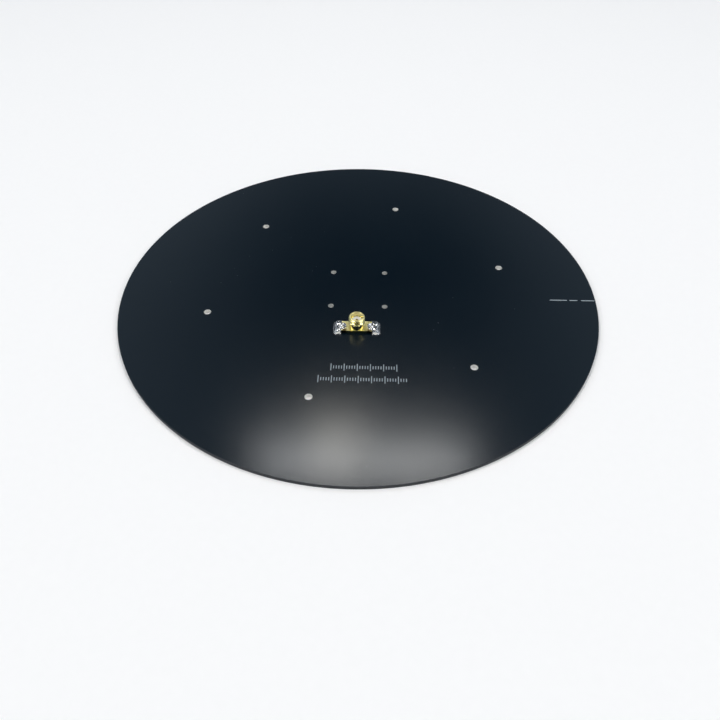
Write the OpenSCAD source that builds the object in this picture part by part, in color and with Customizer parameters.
// Round panel antenna: one printed circuit board with a threaded coaxial jack
// soldered to its back. The board lies on XY with its front face at Z = 0, the
// bolt circle is centred on the origin, and the jack stands up along +Z.

/* [Panel] */
// Diameter of the round board
panel_d = 200; // [150:1:300]
// Thickness of the board
panel_t = 1.6; // [0.8:0.1:3.2]

/* [Fixing holes] */
// Number of holes on the outer bolt circle
outer_count = 6; // [3:1:12]
// Diameter of the outer bolt circle
outer_pcd = 128; // [80:1:140]
// Diameter of each outer hole
outer_hole_d = 2.8; // [2.2:0.1:5.5]
// Angle of the first outer hole from +X, in degrees
outer_turn = 15; // [0:1:59]
// Side of the inner square of holes, centre to centre
inner_pitch = 22.4; // [18:0.1:28]
// Diameter of each inner hole
inner_hole_d = 2.2; // [1.6:0.1:3.2]

/* [Jack flange] */
// Distance of the jack from the middle of the board, towards -Y
feed_offset = 24.8; // [20:0.1:40]
// Width of the flange
flange_w = 5.7; // [5.5:0.1:8]
// Thickness of the flange
flange_t = 1.2; // [0.8:0.1:2]
// Radius of the flange's four corners
flange_r = 0.6; // [0.2:0.1:1.2]
// Distance between the two lug holes
lug_pitch = 12.2; // [11.6:0.1:12.8]
// Diameter of each lug hole
lug_hole_d = 2.6; // [2:0.1:2.9]
// Metal left between each lug hole and the lug's end
lug_wall = 0.55; // [0.4:0.05:1.5]

/* [Jack barrel] */
// Outside diameter of the threaded barrel
barrel_d = 6.35; // [6:0.05:7]
// Height of the barrel above the flange
barrel_h = 5.3; // [4.5:0.1:10]
// Depth of the thread, and of the relief behind it
thread_depth = 0.43; // [0.2:0.01:0.6]
// Height of the relief behind the thread
relief_h = 0.7; // [0.3:0.1:1.2]
// Chamfer outside the mouth
mouth_chamfer = 0.4; // [0.1:0.05:0.6]
// Lead-in chamfer inside the mouth
mouth_lead = 0.12; // [0.05:0.01:0.25]
// Diameter of the mouth that takes the plug's sleeve
mouth_d = 4.6; // [4.4:0.05:5]
// Depth of the mouth down to the insulator's face
mouth_depth = 1.9; // [1:0.1:2.4]
// Diameter of the bore that holds the insulator
bore_d = 4.1; // [3.4:0.05:4.2]

/* [Jack contact] */
// Outside diameter of the contact and of its tail
contact_d = 1.27; // [1.1:0.01:1.6]
// Diameter of the socket that takes the plug's pin
socket_d = 0.94; // [0.8:0.01:1]
// Depth of the socket
socket_depth = 2.9; // [2:0.1:3.6]
// Width of each slot between the contact's fingers
slot_w = 0.16; // [0.08:0.01:0.2]
// Depth of the slots
slot_depth = 2.2; // [1:0.1:2.6]
// Clearance between insulator, body and contact, on the radius
bead_gap = 0.02; // [0.01:0.01:0.05]

/* [Solder] */
// Thickness of the solder under the lugs
solder_film = 0.1; // [0.05:0.01:0.3]
// Thickness of the solder on top of the lugs and round their ends
solder_skin = 0.15; // [0.08:0.01:0.4]
// How far the solder spreads round the lug hole, on top of the lug
solder_reach = 0.65; // [0.4:0.05:1]
// How far the tinned land shows past the lug's end
land_end = 1.5; // [0.8:0.1:2.5]
// How far the tinned land shows past the lug's sides
land_side = 0.8; // [0.4:0.1:1.5]
// Radius of the land's corners
land_r = 0.35; // [0.1:0.05:0.6]
// How far below the lug's top the solder's full slope begins
slope_drop = 0.1; // [0:0.05:0.4]
// Width of the ring where the solder sinks into the lug hole
dimple_w = 0.5; // [0.2:0.05:0.7]
// Room for solder round the contact's tail, on the radius
feed_gap = 0.2; // [0.1:0.05:0.5]

/* [Hidden] */
$fn = 96;
cut_over = 1;
slope_steps = 6;
board_top = panel_t;
flange_z = board_top + solder_film;
flange_top = flange_z + flange_t;
mouth_z = flange_top + barrel_h;
plane_z = mouth_z - mouth_depth;
lug_x = lug_pitch / 2;
lug_end = lug_x + lug_hole_d / 2 + lug_wall;
flange_l = 2 * lug_end;
feed_hole_d = contact_d + 2 * feed_gap;
finger_count = 4;
finger_turn = 45;

module at_feed() {
    translate([0, -feed_offset, 0])
        children();
}

// Round bar, or the cutter of a round hole, from one height to another
module rod(d, z0, z1) {
    translate([0, 0, z0])
        cylinder(d = d, h = z1 - z0);
}

module both_lugs() {
    children();
    mirror([1, 0, 0])
        children();
}

module rounded_plate(l, w, r, h) {
    linear_extrude(h) {
        square([l - 2 * r, w], center = true);
        square([l, w - 2 * r], center = true);
        for (x = [-1, 1], y = [-1, 1])
            translate([x * (l / 2 - r), y * (w / 2 - r)])
                circle(r = r);
    }
}

module board() {
    color("#141c22")
    difference() {
        cylinder(d = panel_d, h = panel_t);
        for (k = [0 : outer_count - 1])
            rotate(outer_turn + k * 360 / outer_count)
                translate([outer_pcd / 2, 0, 0])
                    rod(outer_hole_d, -cut_over, board_top + cut_over);
        for (x = [-1, 1], y = [-1, 1])
            translate([x * inner_pitch / 2, y * inner_pitch / 2, 0])
                rod(inner_hole_d, -cut_over, board_top + cut_over);
        at_feed()
            rod(feed_hole_d, -cut_over, board_top + cut_over);
    }
}

// The barrel is turned: a relief at its foot, a cone up to the thread's outside, a chamfered mouth
module barrel() {
    r = barrel_d / 2;
    foot_r = r - thread_depth;
    translate([0, 0, flange_z])
        rotate_extrude()
            polygon([
                [0, 0],
                [foot_r, 0],
                [foot_r, flange_t + relief_h],
                [r, flange_t + relief_h + thread_depth],
                [r, flange_t + barrel_h - mouth_chamfer],
                [r - mouth_chamfer, flange_t + barrel_h],
                [0, flange_t + barrel_h]
            ]);
}

module flange_blank() {
    translate([0, 0, flange_z])
        rounded_plate(flange_l, flange_w, flange_r, flange_t);
}

module jack_body() {
    color("#d9bd62")
    at_feed()
    difference() {
        union() {
            flange_blank();
            barrel();
        }
        both_lugs()
            translate([lug_x, 0, 0])
                rod(lug_hole_d, flange_z - cut_over, flange_top + cut_over);
        rod(bore_d, flange_z - cut_over, mouth_z + cut_over);
        rod(mouth_d, plane_z, mouth_z + cut_over);
        translate([0, 0, mouth_z - mouth_lead])
            cylinder(d1 = mouth_d, d2 = mouth_d + 2 * mouth_lead, h = mouth_lead);
    }
}

module jack_insulator() {
    color("#f0eeea")
    at_feed()
    difference() {
        rod(bore_d - 2 * bead_gap, flange_z, plane_z);
        rod(contact_d + 2 * bead_gap, flange_z - cut_over, plane_z + cut_over);
    }
}

// One turned pin: a socket with four fingers at the top, a tail down through the board
module jack_contact() {
    color("#c9a64c")
    at_feed()
    difference() {
        rod(contact_d, 0, plane_z);
        rod(socket_d, plane_z - socket_depth, plane_z + cut_over);
        for (k = [0 : finger_count / 2 - 1])
            rotate(finger_turn + k * 360 / finger_count)
                translate([-contact_d, -slot_w / 2, plane_z - slot_depth])
                    cube([2 * contact_d, slot_w, slot_depth + cut_over]);
    }
}

// Cross-section of the full, rounded slope that plenty of solder makes between a wall and its land
module slope_section(run, rise, back) {
    polygon(concat(
        [[-back, 0], [-back, rise]],
        [for (k = [0 : slope_steps])
            let (a = 90 * k / slope_steps)
            [run * sin(a), rise * cos(a)]]
    ));
}

// Slope along +X, spread over the width w
module slope_along_x(run, back, w) {
    rotate([90, 0, 0])
        translate([0, 0, -w / 2])
            linear_extrude(w)
                slope_section(run, flange_t - slope_drop, back);
}

// Outside of the solder on one lug: the wetted land, a skin on the lug's end and round its hole, the slopes
module lug_mound() {
    solder_cover = lug_end - lug_x;
    land_l = solder_cover + land_end;
    land_w = flange_w + 2 * land_side;
    land_mid = lug_end + land_end - land_l / 2;
    skin_l = solder_cover + solder_skin;
    skin_w = flange_w + 2 * solder_skin;
    skin_end = lug_end + solder_skin;
    translate([land_mid, 0, board_top])
        rounded_plate(land_l, land_w, land_r, solder_film);
    translate([skin_end - skin_l / 2, 0, flange_z])
        rounded_plate(skin_l, skin_w, flange_r + solder_skin, flange_t + solder_skin);
    translate([lug_x, 0, 0])
        rod(lug_hole_d + 2 * solder_reach, flange_z, flange_top + solder_skin);
    intersection() {
        translate([skin_end, 0, flange_z])
            slope_along_x(land_end - solder_skin, skin_l, land_w);
        for (side = [-90, 90])
            translate([land_mid, 0, flange_z])
                rotate(side)
                    translate([skin_w / 2, 0, 0])
                        slope_along_x(land_side - solder_skin, skin_w, land_l - 2 * land_r);
    }
}

// Solder on one lug, with a plug in the lug hole that sinks in a ring as it sets
module lug_joint() {
    difference() {
        union() {
            difference() {
                lug_mound();
                flange_blank();
            }
            translate([lug_x, 0, 0])
                rod(lug_hole_d, flange_z, flange_top);
        }
        translate([lug_x, 0, flange_top + solder_skin])
            rotate_extrude()
                translate([(lug_hole_d - dimple_w) / 2, 0])
                    circle(d = dimple_w);
    }
}

module flange_solder() {
    color("#b9bbbb")
    at_feed()
    both_lugs()
        lug_joint();
}

module pin_solder() {
    color("#b9bbbb")
    at_feed()
    difference() {
        rod(feed_hole_d, 0, board_top);
        rod(contact_d, -cut_over, board_top + cut_over);
    }
}

board();
jack_body();
jack_insulator();
jack_contact();
flange_solder();
pin_solder();
